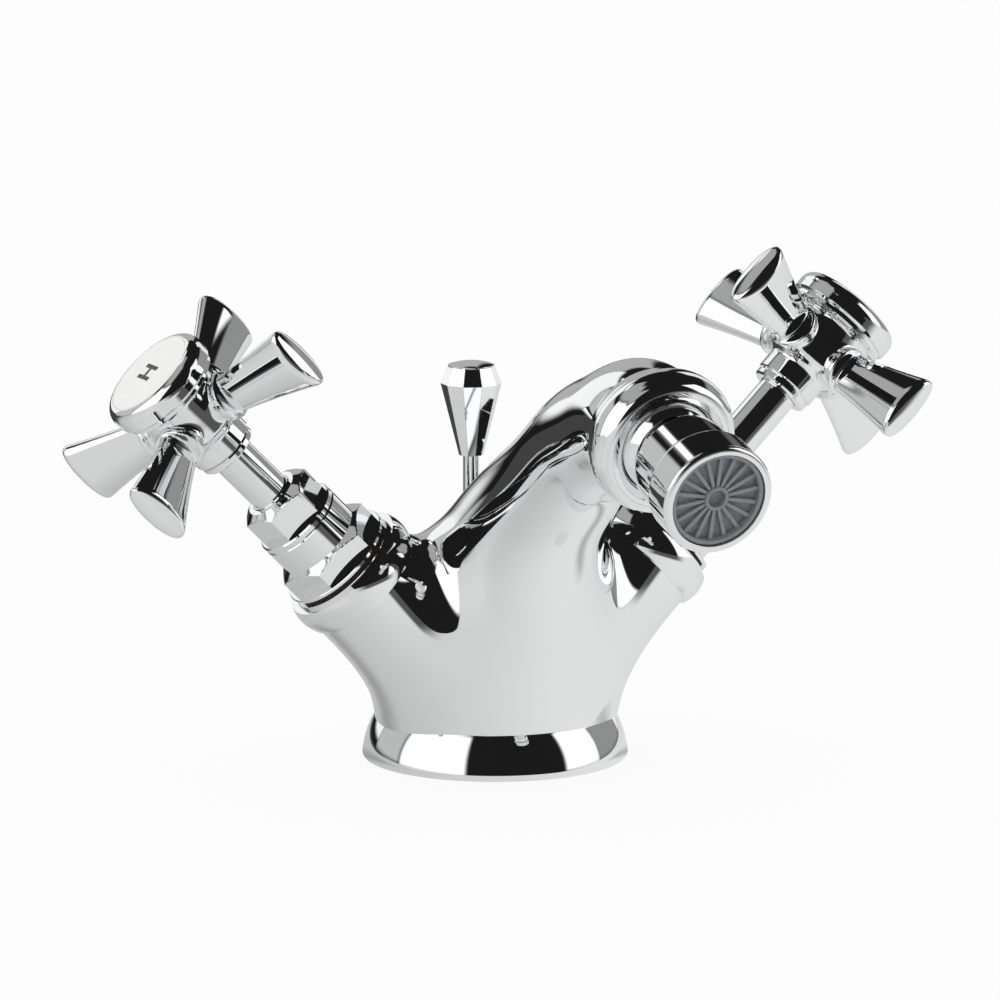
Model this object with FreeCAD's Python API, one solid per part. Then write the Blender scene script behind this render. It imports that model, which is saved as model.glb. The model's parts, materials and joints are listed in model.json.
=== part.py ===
import FreeCAD, Part
import math
import os

# Bidet mixer tap, millimetres. Origin: centre of the base's bottom face.
# +Z up, the spout points to -Y, the hot valve is on -X and the cold valve on +X.

V = FreeCAD.Vector

# Casting
base_d = 53.0            # widest diameter of the foot
foot_h = 8.8             # height of the rounded foot up to its crease
foot_wide = 2.0          # height of the foot's widest line
foot_under = 1.2         # how far the bottom edge stands in from the widest line
crease_in = 2.5          # how far the crease above the foot stands in
waist_in = 3.2           # how far the waist stands in from the foot
waist_up = 2.4           # waist above the crease
flank_up = 8.0           # end of the nearly straight flank, above the crease
flank_out = 0.3          # how far the flank swells up to there
bell_top = 47.0          # top of the bell, under the spout
shoulder_drop = 15.0     # start of the bell's shoulder, below its top
shoulder_in = 0.5        # how far the flank has drawn in there
brow_drop = 4.0          # end of the shoulder, below the bell's top
brow_in = 8.0
crown_r = 3.0            # flat at the very top of the bell
neck_blend = 12.0        # blend between the bell and the neck
arm_blend = 12.0         # blend between an arm and the rest of the casting

# Valve arms
valve_tilt = 45.0        # valve axes above the horizontal, degrees
valve_y = -2.0           # plane of both valve axes
axis_up = 22.5           # height of an axis over the crease, where it passes the waist
arm_root_r = 13.6
arm_root_low = 4.04      # lowest point of an arm's root inside the bell
arm_show = 15.749        # end face of an arm, along its axis from where that passes the waist
collar_d = 27.6          # bead round the end of an arm
collar_proud = 1.3       # how far the bead stands out of the arm
collar_w = 5.9
collar_lip = 0.7         # plain end beyond the bead
collar_bevel = 0.4
arm_wall = 3.0           # wall round the bonnet's thread

# Spout and swivel nozzle, sizes along the nozzle counted from the ball's centre
ball_y = -76.5
ball_z = 75.5
ball_r = 10.3
nozzle_pitch = 17.0      # nozzle axis below the horizontal, degrees
nozzle_swing = 15.0      # tilt of the ball each way, degrees
neck_root_z = 17.0       # where the neck starts inside the bell
neck_root_in = 2.0       # how far its root stands inside the waist
socket_wall = 1.5        # wall of the neck round the ball's seat
ring_wall = 2.5          # bead of the spout's end, outside the retainer
ring_tail = 8.0          # start of that bead behind the ball's centre
ring_sink = 0.3          # the bead's start stands inside the neck's skin
ring_cove = 0.9          # hollow slope up to the bead
ring_shoulder_in = 0.5   # edges of the crest, inside its widest line
ring_brow_in = 0.7
ring_brow_back = 1.6     # front edge of the crest, behind the face
ring_bevel_in = 1.8      # round from the crest to the face
ring_face = 0.2          # flat round the retainer
retainer_wall = 1.7
retainer_front = 4.4
retainer_back = -2.2
retainer_lip = 3.4       # height where the retainer stops holding the ball
ball_back = -4.0         # flat back of the ball
seat_ring_l = 3.85
seat_ring_w = 3.1
seal_tube_r = 0.9
swing_room = 4.6         # from the retainer's face to the sleeve
sleeve_l = 8.2
sleeve_wall = 2.4
housing_gap = 0.6
housing_l = 8.2
housing_step = 1.2       # housing larger than the sleeve
housing_wall = 1.6
stub_step = 0.8          # neck of the ball larger than its threaded stub
stub_grip = 2.6          # stub inside the housing
stub_wall = 2.25         # wall of the stub round the water
sleeve_round = 0.6
housing_round = 0.9
aerator_rim = 0.9
aerator_hub_r = 1.9
aerator_recess = 0.4     # insert below the housing's edge
spoke_count = 18
spoke_t = 0.62
washer_t = 1.15
screen_t = 0.55
screen_hole_r = 0.8

# Waterways and mounting holes in the base
inlet_r = 5.0            # M10 x 1 tail thread
inlet_depth = 11.0
inlet_wall = 2.0         # between an inlet and the gasket groove
riser_under = 0.5        # top of a riser below the valve axis
mixing_drop = 6.0        # where the two flows meet, below the bell's top
water_r = 4.0
cross_water_r = 3.2
seat_hole_r = 4.7
feed_l = 10.2            # waterway below a valve seat
stud_r = 4.0             # M8 fixing stud
stud_depth = 14.0
stud_wall = 0.6
groove_w = 3.0
groove_h = 2.0
groove_margin = 2.3      # from the groove to the edge of the foot
gasket_side = 0.05

# Pull rod and knob
rod_d = 3.2
rod_in = 11.7            # rod inside the waist, at the back
rod_lo = 1.5
rod_show = 14.4          # rod seen below the knob
rod_grip = 8.0           # rod inside the knob
guide_l = 10.6
guide_wall = 2.1
guide_drop = 2.4         # top of the guide below the top of the bell
guide_flange_w = 1.1
guide_flange_t = 1.5
rod_seal_w = 1.2
rod_seal_h = 1.6
knob_sides = 10
knob_turn = 15.0         # where its first edge stands, degrees
knob_foot = 1.4          # foot of the knob wider than the rod
knob_d = 11.6            # across the flats at its widest
knob_rise = 14.5
knob_shoulder_d = 8.9
knob_shoulder_h = 3.5
knob_cap_r = 4.6
knob_cap_h = 1.0
knob_cap_curve = 14.0

# Headwork in each arm
headwork_l = 22.0        # from the valve seat to the arm's end face
chamber_l = 8.0
chamber_step = 1.5
bonnet_washer_t = 0.8
bonnet_flange_t = 0.8
bonnet_flange_in = 0.7   # flange smaller than the arm
bonnet_washer_in = 0.9   # washer smaller than the flange
bonnet_hex_af = 19.0
bonnet_hex_h = 4.8
bonnet_barrel_h = 5.8
barrel_wall = 2.3
skirt_clear = 0.5
skirt_l = 2.7
packing_depth = 7.0
packing_h = 2.5
packing_floor = 0.6
gland_collar_h = 1.4
gland_hex_h = 6.9
gland_hex_wall = 2.7
hex_chamfer = 1.4        # height of the turned chamfer on the hexagons

# Spindle and jumper
stem_d = 8.4             # visible stem
stem_show = 12.5         # stem between the gland nut and the handle, valve shut
thread_step = 1.3        # thread larger than the stem
thread_l = 8.0
packing_wall = 2.2
spindle_up = 0.8         # foot of the spindle above the bonnet's skirt bore
square_af = 5.9
square_l = 9.5
jumper_pin_l = 5.5
jumper_pin_in = 1.45     # pin thinner than the stem
jumper_neck_h = 2.3
jumper_neck_in = 1.1     # guide disc smaller than the thread
plate_t = 1.5
plate_in = 0.5
jumper_washer_h = 2.7
jumper_washer_side = 1.6
stud_nut_r = 1.45
stud_nut_l = 2.8
washer_nut_af = 5.0
washer_nut_h = 2.3
cold_open = 5.3          # how far the cold spindle stands open at rest

# Crosshead handle
hub_h = 18.7
hub_foot_r = 6.1
hub_foot_h = 1.3
hub_foot_bevel = 0.4
hub_groove = 0.5         # groove above the foot, both deep and high
hub_neck_r = 6.45
hub_neck_h = 5.0         # neck's top above the hub's underside
hub_neck_swell = 0.5
core_r = 8.6
core_up = 8.0            # core's start above the hub's underside
hub_flange_r = 10.8
hub_flange_t = 0.9
hub_cove_h = 1.7         # hollow slope under the flange
hub_cove_in = 0.7
cross_up = 10.9          # middle plane of the blades above the hub's underside
handle_span = 60.0       # across the tips of two opposite blades
blade_tip_half = 7.65    # half height of a blade's oval tip
blade_tip_t = 7.2
blade_tip_bow = 1.0      # dome of the tip
blade_edge_r = 0.9
blade_root_half = 3.5
blade_root_t = 4.6
blade_root_x = 6.0
blade_flare = 1.67       # how late the blade grows tall: power of the way out
blade_swell = 2.4        # how late it grows thick
blade_sections = 6
blade_collar_r = 4.7
blade_collar_t = 1.5
blade_boss_r = 4.0
blade_boss_l = 3.2
blades = 4
hot_phase = 42.0         # where the blades stand with the valve shut, degrees
cold_phase = 24.0
screw_ledge_up = 10.0
screw_r = 2.0
screw_in = 2.0           # screw's end above the hub's underside
screw_head_r = 3.7
screw_head_h = 2.4
screw_key_af = 2.5
screw_key_depth = 1.4
screw_room = 0.9
index_h = 4.8
index_r = 11.45
index_rim = 2.2          # rim round the disc
index_bevel = 0.45
index_brow_h = 2.8       # rounded top edge of the cap
index_brow_in = 1.9
index_brow_bend = 0.29   # middle of that edge, as a share of its two sizes
index_disc_t = 1.2
index_plug_r = 7.0
index_plug_l = 4.5
index_plug_wall = 1.8
index_hollow = 1.6

# Fits and gaps
thread_gap = 0.04        # radial, screwed and pressed pieces
run_gap = 0.08           # radial, turning or sliding pieces
free_gap = 0.35          # pieces that must not touch
seat_gap = 0.03          # flat faces that meet when shut
over = 1.0               # tools run past the faces they cut


def cyl(r, z0, z1):
    return Part.makeCylinder(r, z1 - z0, V(0, 0, z0))


def ring(r_in, r_out, z0, z1):
    return cyl(r_out, z0, z1).cut(cyl(r_in, z0 - over, z1 + over))


def ball(r, z=0.0):
    return Part.makeSphere(r, V(0, 0, z))


def polygon(across, sides, z, turn):
    """Regular polygon about Z, given across its flats."""
    corner = across / 2 / math.cos(math.pi / sides)
    points = []
    for i in range(sides + 1):
        a = math.radians(turn) + 2 * math.pi * i / sides
        points.append(V(corner * math.cos(a), corner * math.sin(a), z))
    return Part.makePolygon(points)


def prism(across, sides, z0, z1, turn=0.0):
    return Part.Face(polygon(across, sides, z0, turn)).extrude(V(0, 0, z1 - z0))


def hexagon(across, z0, z1):
    """Hexagon with its upper corners turned off."""
    corner_r = across / 2 / math.cos(math.pi / 6)
    turned = cyl(corner_r, z0 - over, z1 - hex_chamfer)
    cone = Part.makeCone(corner_r, corner_r - 1.7 * hex_chamfer, hex_chamfer, V(0, 0, z1 - hex_chamfer))
    return prism(across, 6, z0, z1, 15).common(turned.fuse(cone))


def lines(points):
    """Straight edges through (radius, height) points."""
    edges = []
    for (r0, z0), (r1, z1) in zip(points, points[1:]):
        edges.append(Part.makeLine(V(r0, 0, z0), V(r1, 0, z1)))
    return edges


def curve(points):
    """One smooth edge through (radius, height) points."""
    spline = Part.BSplineCurve()
    spline.interpolate([V(r, 0, z) for r, z in points])
    return spline.toShape()


def arc(a, b, c):
    return Part.Arc(V(a[0], 0, a[1]), V(b[0], 0, b[1]), V(c[0], 0, c[1])).toShape()


def revolved(edges):
    """Solid of revolution about Z from edges drawn in the XZ half plane."""
    face = Part.Face(Part.Wire(Part.__sortEdges__(edges)))
    solid = face.revolve(V(0, 0, 0), V(0, 0, 1), 360)
    return solid if solid.Volume > 0 else solid.reversed()


def lathe(points):
    """Solid of revolution from (radius, height) steps, closed to the axis."""
    first, last = points[0][1], points[-1][1]
    return revolved(lines([(0, first)] + points + [(0, last), (0, first)]))


def round_ends(solid, r, z0, z1):
    """Round the edges that lie flat at two heights."""
    def flat(edge):
        box = edge.BoundBox
        return box.ZLength < 1e-4 and min(abs(box.ZMin - z0), abs(box.ZMin - z1)) < 1e-4
    return solid.makeFillet(r, [e for e in solid.Edges if flat(e)])


def rod_between(a, b, r):
    return Part.makeCylinder(r, (b - a).Length, a, b - a)


def on_valve(shape, side):
    """Move a piece built along Z onto the valve axis of one side (-1 hot, +1 cold)."""
    moved = shape.copy()
    moved.rotate(V(0, 0, 0), V(0, 1, 0), side * (90 - valve_tilt))
    moved.translate(V(0, valve_y, valve_cross_z))
    return moved


def on_nozzle(shape):
    """Move a piece built along Z, ball centre at zero, onto the nozzle axis."""
    moved = shape.copy()
    moved.rotate(V(0, 0, 0), V(1, 0, 0), 90 + nozzle_pitch)
    moved.translate(ball_at)
    return moved


def on_rod(shape):
    moved = shape.copy()
    moved.translate(V(0, rod_y, 0))
    return moved


def save(name, shape):
    solid = shape.removeSplitter().Solids[0]
    print(name, "solids", len(shape.Solids), "valid", solid.isValid(), "volume", round(solid.Volume, 1))
    solid.exportStep("parts/" + name + ".step")


tilt = math.radians(valve_tilt)
pitch = math.radians(nozzle_pitch)
nozzle_dir = V(0, -math.cos(pitch), -math.sin(pitch))
ball_at = V(0, ball_y, ball_z)

# Foot and waist, and where the valve axes meet
foot_r = base_d / 2
foot_low_r = foot_r - foot_under
waist_r = foot_r - waist_in
valve_cross_z = foot_h + axis_up - waist_r * math.tan(tilt)

# Stations along a valve axis, counted from where the axes meet
arm_start = (arm_root_low + arm_root_r * math.cos(tilt) - valve_cross_z) / math.sin(tilt)
arm_end = waist_r / math.cos(tilt) + arm_show
seat_s = arm_end - headwork_l
chamber_top = seat_s + chamber_l
skirt_lo = chamber_top + skirt_clear
skirt_hi = skirt_lo + skirt_l
bonnet_foot = arm_end + bonnet_washer_t
hex_lo = bonnet_foot + bonnet_flange_t
hex_hi = hex_lo + bonnet_hex_h
barrel_hi = hex_hi + bonnet_barrel_h
packing_lo = barrel_hi - packing_depth
packing_hi = packing_lo + packing_h
gland_hex_lo = barrel_hi + gland_collar_h
gland_hi = gland_hex_lo + gland_hex_h
hub_bottom = gland_hi + stem_show
hub_top = hub_bottom + hub_h
index_top = hub_top + index_h
spindle_lo = skirt_hi + spindle_up

# Radii about a valve axis
collar_r = collar_d / 2
arm_r = collar_r - collar_proud
shank_r = arm_r - arm_wall
chamber_r = shank_r - chamber_step
stem_r = stem_d / 2
thread_r = stem_r + thread_step
skirt_r = thread_r + chamber_step
packing_r = stem_r + packing_wall
barrel_r = packing_r + barrel_wall
jumper_pin_r = stem_r - jumper_pin_in

# Stations along the nozzle axis
seat_ring_hi = retainer_back - free_gap
seat_ring_lo = seat_ring_hi - seat_ring_l
seal_lo = seat_ring_lo - 2 * seal_tube_r - free_gap
sleeve_lo = retainer_front + swing_room
sleeve_hi = sleeve_lo + sleeve_l
housing_lo = sleeve_hi + housing_gap
nozzle_end = housing_lo + housing_l
stub_end = housing_lo + stub_grip

# Radii about the nozzle axis
seat_bore_r = ball_r + free_gap / 2
seat_ring_r_in = ball_r - seat_ring_w
neck_r = seat_bore_r + socket_wall
retainer_r = ball_r + retainer_wall
ring_r = retainer_r + ring_wall
mouth_r = math.sqrt(ball_r ** 2 - retainer_lip ** 2) + run_gap
swing = math.radians(nozzle_swing)
ball_neck_r = (mouth_r - retainer_lip * math.tan(swing) - free_gap) * math.cos(swing)
stub_r = ball_neck_r - stub_step
nozzle_water_r = stub_r - stub_wall
sleeve_r = stub_r + sleeve_wall
housing_r = sleeve_r + housing_step
insert_r = housing_r - housing_wall

# Places in the base and on the rod
groove_r_out = foot_low_r - groove_margin
groove_r_in = groove_r_out - groove_w
inlet_x = groove_r_in - inlet_wall - inlet_r
riser_top = valve_cross_z + inlet_x * math.tan(tilt) - riser_under
stud_y = stud_r + stud_wall - groove_r_in
rod_y = waist_r - rod_in
rod_r = rod_d / 2
guide_r = rod_r + guide_wall
guide_flange_r = guide_r + guide_flange_w
guide_hi = bell_top - guide_drop
guide_lo = guide_hi - guide_l
rod_seal_z = (guide_lo + guide_hi) / 2
rod_seal_r = rod_r + rod_seal_w
knob_bottom = guide_hi + rod_show
knob_wide = knob_bottom + knob_rise
knob_shoulder = knob_wide + knob_shoulder_h
rod_top = knob_bottom + rod_grip


def valve_point(side, s):
    return V(side * s * math.cos(tilt), valve_y, valve_cross_z + s * math.sin(tilt))


def bulge(widest, end):
    """Middle of an arc that leaves its widest point upright and draws in to its end."""
    inward, rise = widest[0] - end[0], end[1] - widest[1]
    radius = (inward ** 2 + rise ** 2) / (2 * inward)
    half = math.asin(rise / radius) / 2
    return widest[0] - radius * (1 - math.cos(half)), widest[1] + radius * math.sin(half)


def bell():
    """Rounded foot, a crease, then the bell that closes under the spout."""
    sole, widest, crease = (foot_low_r, 0), (foot_r, foot_wide), (foot_r - crease_in, foot_h)
    toe = arc(sole, bulge(widest, sole), widest)
    instep = arc(widest, bulge(widest, crease), crease)
    flank = curve([crease, (waist_r, foot_h + waist_up), (waist_r + flank_out, foot_h + flank_up),
                   (waist_r - shoulder_in, bell_top - shoulder_drop),
                   (waist_r - brow_in, bell_top - brow_drop), (crown_r, bell_top)])
    inside = lines([(crown_r, bell_top), (0, bell_top), (0, 0), sole])
    return revolved([toe, instep, flank] + inside)


def valve_arm():
    """Slightly tapered arm that ends in a round bead."""
    bead_hi = arm_end - collar_lip
    bead_lo = bead_hi - collar_w
    taper = arm_root_r - arm_r
    run = bead_lo - arm_start
    flank = curve([(arm_root_r, arm_start), (arm_root_r - 0.27 * taper, arm_start + 0.41 * run),
                   (arm_root_r - 0.73 * taper, arm_start + 0.7 * run), (arm_r, bead_lo)])
    bead = arc((arm_r, bead_lo), (collar_r, (bead_lo + bead_hi) / 2), (arm_r, bead_hi))
    end = lines([(arm_r, bead_hi), (arm_r - collar_bevel, arm_end), (0, arm_end), (0, arm_start),
                 (arm_root_r, arm_start)])
    return revolved([flank, bead] + end)


# Middle line of the neck: shares of the way out and up to the ball, and how much of the root's swell is left
neck_line = [(0.013, 0.0, 1.0), (0.059, 0.256, 0.774), (0.144, 0.462, 0.469), (0.275, 0.632, 0.188),
             (0.438, 0.785, 0.035), (0.608, 0.915, 0.0), (0.771, 0.997, 0.0), (0.9, 1.039, 0.0)]
neck_path = [V(0, ball_y * out, neck_root_z + (ball_z - neck_root_z) * up) for out, up, swell in neck_line]
neck_swell = waist_r - neck_root_in - neck_r


def spout_neck():
    spine = Part.BSplineCurve()
    spine.interpolate(neck_path)
    sections = []
    for point, (out, up, swell) in list(zip(neck_path, neck_line))[:-1]:
        along = spine.tangent(spine.parameter(point))[0]
        sections.append(Part.Wire(Part.makeCircle(neck_r + swell * neck_swell, point, along)))
    for back in (ring_tail, -retainer_back):
        sections.append(Part.Wire(Part.makeCircle(neck_r, ball_at - nozzle_dir * back, nozzle_dir)))
    return Part.makeLoft(sections, True, False)


def spout_ring():
    """Bead round the spout's end that holds the ball's socket."""
    tail = (neck_r - ring_sink, -ring_tail)
    shoulder = (ring_r - ring_shoulder_in, retainer_back - ring_face)
    brow = (ring_r - ring_brow_in, retainer_front - ring_brow_back)
    face = (retainer_r + ring_face, retainer_front)
    edges = [arc(tail, (neck_r + ring_cove, -ring_tail * 0.575), shoulder),
             arc(shoulder, (ring_r, ring_face), brow),
             arc(brow, (ring_r - ring_bevel_in, retainer_front - ring_face), face)]
    return revolved(edges + lines([face, (0, retainer_front), (0, -ring_tail), tail]))


def on_skin(shape, point):
    return shape.Shells[0].distToShape(Part.Vertex(point))[0] < 1e-3


def blended(body, limb, r):
    """Join a limb to the casting and round the seam where their skins meet."""
    joined = body.fuse(limb).removeSplitter()
    seam = []
    for edge in joined.Edges:
        middle = edge.valueAt((edge.FirstParameter + edge.LastParameter) / 2)
        if on_skin(body, middle) and on_skin(limb, middle):
            seam.append(edge)
    return joined.makeFillet(r, seam)


def valve_bore():
    bore = cyl(shank_r, chamber_top, arm_end + over).fuse(cyl(chamber_r, seat_s, chamber_top + over))
    bore = bore.fuse(cyl(seat_hole_r, seat_s - water_r, seat_s + over))
    return bore.fuse(cyl(water_r, seat_s - feed_l, seat_s))


def waterways():
    """Inlet risers, crossing passages from both valves, and the way up the neck to the socket."""
    tools = []
    mixing = V(0, valve_y - water_r, bell_top - mixing_drop)
    for side in (-1, 1):
        inlet = V(side * inlet_x, valve_y, 0)
        tools.append(Part.makeCylinder(water_r, riser_top, inlet))
        tools.append(Part.makeCylinder(inlet_r, inlet_depth, inlet))
        tools.append(rod_between(valve_point(side, (seat_s + chamber_top) / 2), mixing, cross_water_r))
    way = [mixing - V(0, 0, cross_water_r)] + neck_path[3:-1] + [ball_at - nozzle_dir * ring_tail]
    for a, b in zip(way, way[1:]):
        tools.append(rod_between(a, b, nozzle_water_r))
        tools.append(Part.makeSphere(nozzle_water_r, b))
    return tools


def ball_socket():
    socket = cyl(retainer_r, retainer_back, retainer_front + over)
    socket = socket.fuse(cyl(seat_bore_r, seat_ring_lo, retainer_back + over))
    return socket.fuse(cyl(seat_bore_r - over, seal_lo, seat_ring_lo + over))


def rod_way():
    hole = cyl(rod_r + free_gap, -over, bell_top + over)
    hole = hole.fuse(cyl(guide_r, guide_lo, bell_top + over))
    return hole.fuse(cyl(guide_flange_r + free_gap / 2, guide_hi - guide_flange_t, bell_top + over))


def body_casting():
    body = blended(bell(), spout_neck(), neck_blend)
    for side in (-1, 1):
        body = blended(body, on_valve(valve_arm(), side), arm_blend)
    body = body.fuse(on_nozzle(spout_ring()))
    cuts = [on_valve(valve_bore(), side) for side in (-1, 1)]
    cuts += [on_nozzle(ball_socket()), on_rod(rod_way())] + waterways()
    cuts.append(ring(groove_r_in, groove_r_out, -over, groove_h))
    cuts.append(Part.makeCylinder(stud_r, stud_depth, V(0, stud_y, 0)))
    return body.cut(cuts)


def rod_guide_bush():
    bush = cyl(guide_r - thread_gap, guide_lo, guide_hi)
    bush = bush.fuse(cyl(guide_flange_r, guide_hi - guide_flange_t, guide_hi))
    bush = bush.cut(cyl(rod_r + run_gap, guide_lo - over, guide_hi + over))
    half = rod_seal_h / 2 + run_gap
    return bush.cut(cyl(rod_seal_r, rod_seal_z - half, rod_seal_z + half))


def rod_seal():
    half = rod_seal_h / 2
    return ring(rod_r + run_gap, rod_seal_r - thread_gap, rod_seal_z - half, rod_seal_z + half)


def pull_knob():
    """Faceted knob that widens upwards, with a low round cap."""
    foot = polygon(rod_d + knob_foot, knob_sides, knob_bottom, knob_turn)
    widest = polygon(knob_d, knob_sides, knob_wide, knob_turn)
    shoulder = polygon(knob_shoulder_d, knob_sides, knob_shoulder, knob_turn)
    low = Part.makeLoft([foot, widest], True, True)
    high = Part.makeLoft([widest, shoulder], True, True)
    dome = ball(knob_cap_curve, knob_shoulder + knob_cap_h - knob_cap_curve)
    cap = dome.common(cyl(knob_cap_r, knob_shoulder - thread_gap, knob_shoulder + 2 * knob_cap_h))
    return low.fuse([high, cap]).cut(cyl(rod_r + thread_gap, knob_bottom - over, rod_top + seat_gap))


def socket_seal():
    middle_r = seat_bore_r - over - free_gap - seal_tube_r
    return Part.makeTorus(middle_r, seal_tube_r, V(0, 0, seal_lo + seal_tube_r))


def ball_seat():
    seat = ring(seat_ring_r_in, seat_bore_r - run_gap, seat_ring_lo + seat_gap, seat_ring_hi)
    return seat.cut(ball(ball_r + run_gap))


def swivel_retainer():
    face_h = retainer_front - retainer_lip
    retainer = cyl(retainer_r - thread_gap, retainer_back, retainer_front).cut(ball(ball_r + run_gap))
    retainer = retainer.cut(cyl(mouth_r, 0, retainer_front + over))
    flare = Part.makeCone(mouth_r, mouth_r + 1.3 * face_h, face_h + run_gap, V(0, 0, retainer_lip))
    return retainer.cut(flare)


def swivel_ball():
    shape = ball(ball_r).cut(cyl(ball_r + over, -ball_r - over, ball_back))
    shape = shape.fuse([cyl(ball_neck_r, 0, sleeve_lo), cyl(stub_r, 0, stub_end)])
    return shape.cut(cyl(nozzle_water_r, -ball_r, stub_end + over))


def nozzle_sleeve():
    sleeve = round_ends(cyl(sleeve_r, sleeve_lo, sleeve_hi), sleeve_round, sleeve_lo, sleeve_hi)
    return sleeve.cut(cyl(stub_r + thread_gap, sleeve_lo - over, sleeve_hi + over))


# What lies on what inside the aerator housing
cavity_lo = stub_end + seat_gap
washer_hi = cavity_lo + washer_t
screen_hi = washer_hi + screen_t
insert_hi = nozzle_end - aerator_recess


def aerator_housing():
    housing = round_ends(cyl(housing_r, housing_lo, nozzle_end), housing_round, housing_lo, nozzle_end)
    housing = housing.cut(cyl(stub_r + thread_gap, housing_lo - over, nozzle_end))
    return housing.cut(cyl(insert_r + thread_gap, cavity_lo, nozzle_end + over))


def aerator_washer():
    return ring(nozzle_water_r + over, insert_r, cavity_lo, washer_hi)


def aerator_screen():
    """Thin plate with three rings of holes."""
    pitch_r = (insert_r - aerator_rim) / 3.3
    holes = []
    for row in (1, 2, 3):
        for i in range(6 * row):
            a = 2 * math.pi * i / (6 * row)
            spot = V(row * pitch_r * math.cos(a), row * pitch_r * math.sin(a), washer_hi - over)
            holes.append(Part.makeCylinder(screen_hole_r, screen_t + 2 * over, spot))
    return cyl(insert_r, washer_hi, screen_hi).cut(holes)


def aerator_insert():
    """Rim, hub and thin spokes, the spokes lower than the rim."""
    rim = ring(insert_r - aerator_rim, insert_r, screen_hi, insert_hi)
    length = insert_r - aerator_rim / 2 - aerator_hub_r / 2
    height = insert_hi - screen_hi - aerator_rim
    web = [cyl(aerator_hub_r, screen_hi, insert_hi - aerator_rim / 3)]
    for i in range(spoke_count):
        spoke = Part.makeBox(length, spoke_t, height, V(aerator_hub_r / 2, -spoke_t / 2, screen_hi))
        spoke.rotate(V(0, 0, 0), V(0, 0, 1), 360.0 * i / spoke_count)
        web.append(spoke)
    return rim.fuse(web)


def bonnet_washer():
    washer_r = arm_r - bonnet_flange_in - bonnet_washer_in
    return ring(shank_r + thread_gap, washer_r, arm_end, bonnet_foot)


def bonnet():
    shell = cyl(shank_r - thread_gap, skirt_lo, bonnet_foot + thread_gap)
    flange = cyl(arm_r - bonnet_flange_in, bonnet_foot, hex_lo + thread_gap)
    barrel = cyl(barrel_r, hex_hi - over, barrel_hi)
    shell = shell.fuse([flange, hexagon(bonnet_hex_af, hex_lo, hex_hi), barrel])
    shell = shell.cut(cyl(skirt_r, skirt_lo - over, skirt_hi))
    shell = shell.cut(cyl(thread_r, skirt_hi - over, packing_lo - packing_floor))
    shell = shell.cut(cyl(stem_r + run_gap, skirt_hi, packing_lo + over))
    return shell.cut(cyl(packing_r, packing_lo, barrel_hi + over))


def gland_packing():
    return ring(stem_r + run_gap, packing_r - thread_gap, packing_lo, packing_hi)


def gland_nut():
    nut = cyl(packing_r - thread_gap, packing_hi, barrel_hi + thread_gap)
    collar = cyl(barrel_r, barrel_hi, gland_hex_lo)
    nut = nut.fuse([collar, hexagon(2 * (stem_r + gland_hex_wall), gland_hex_lo - thread_gap, gland_hi)])
    return nut.cut(cyl(stem_r + run_gap, packing_hi - over, gland_hi + over))


# Spindle and jumper are drawn with the valve shut
jumper_top = spindle_lo + jumper_pin_l
spindle_top = hub_bottom + square_l
plate_lo = seat_s + jumper_washer_h
jumper_washer_r = chamber_r - jumper_washer_side


def spindle():
    thread_hi = spindle_lo + thread_l
    shaft = cyl(thread_r - run_gap, spindle_lo, thread_hi).fuse(cyl(stem_r, thread_hi - over, hub_bottom))
    shaft = shaft.fuse(prism(square_af, 4, hub_bottom - thread_gap, spindle_top, 45))
    shaft = shaft.cut(cyl(jumper_pin_r + run_gap, spindle_lo - over, jumper_top + over))
    return shaft.cut(cyl(screw_r, hub_bottom + screw_in - over, spindle_top + over))


def jumper():
    plate_r = jumper_washer_r - plate_in
    guide_disc_r = thread_r - jumper_neck_in
    disc_hi = spindle_lo - run_gap
    disc_lo = disc_hi - jumper_neck_h
    plate_hi = plate_lo + plate_t
    return lathe([(stud_nut_r, seat_s - stud_nut_l), (stud_nut_r, plate_lo), (plate_r, plate_lo),
                  (plate_r, plate_hi), (jumper_pin_r, plate_hi), (jumper_pin_r, disc_lo),
                  (guide_disc_r, disc_lo), (guide_disc_r, disc_hi), (jumper_pin_r, disc_hi),
                  (jumper_pin_r, jumper_top)])


def jumper_washer():
    return ring(stud_nut_r + thread_gap, jumper_washer_r, seat_s + seat_gap, plate_lo)


def washer_nut():
    nut = prism(washer_nut_af, 6, seat_s - washer_nut_h, seat_s + seat_gap)
    return nut.cut(cyl(stud_nut_r + thread_gap, seat_s - washer_nut_h - over, seat_s + over))


screw_ledge = hub_bottom + screw_ledge_up


def hub():
    """Turned hub: a small foot with a groove, a neck, a core for the blades and a flange for the cap."""
    h = hub_bottom
    groove_lo = h + hub_foot_h
    groove_r = hub_foot_r - hub_groove
    foot = [(0, h), (hub_foot_r - hub_foot_bevel, h), (hub_foot_r, h + hub_foot_bevel),
            (hub_foot_r, groove_lo), (groove_r, groove_lo), (groove_r, groove_lo + hub_groove),
            (hub_neck_r, groove_lo + hub_groove)]
    neck_top = (hub_neck_r, h + hub_neck_h)
    swell = (hub_neck_r + hub_neck_swell, h + (hub_neck_h + 2 * core_up) / 3)
    core_lo = (core_r, h + core_up)
    flange = (hub_flange_r, hub_top - hub_flange_t)
    core_hi = (core_r, flange[1] - hub_cove_h)
    cove = (core_r + hub_cove_in, flange[1] - hub_cove_h / 4)
    edges = lines(foot + [neck_top]) + [arc(neck_top, swell, core_lo)] + lines([core_lo, core_hi])
    edges += [arc(core_hi, cove, flange)]
    return revolved(edges + lines([flange, (hub_flange_r, hub_top), (0, hub_top), (0, h)]))


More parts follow.
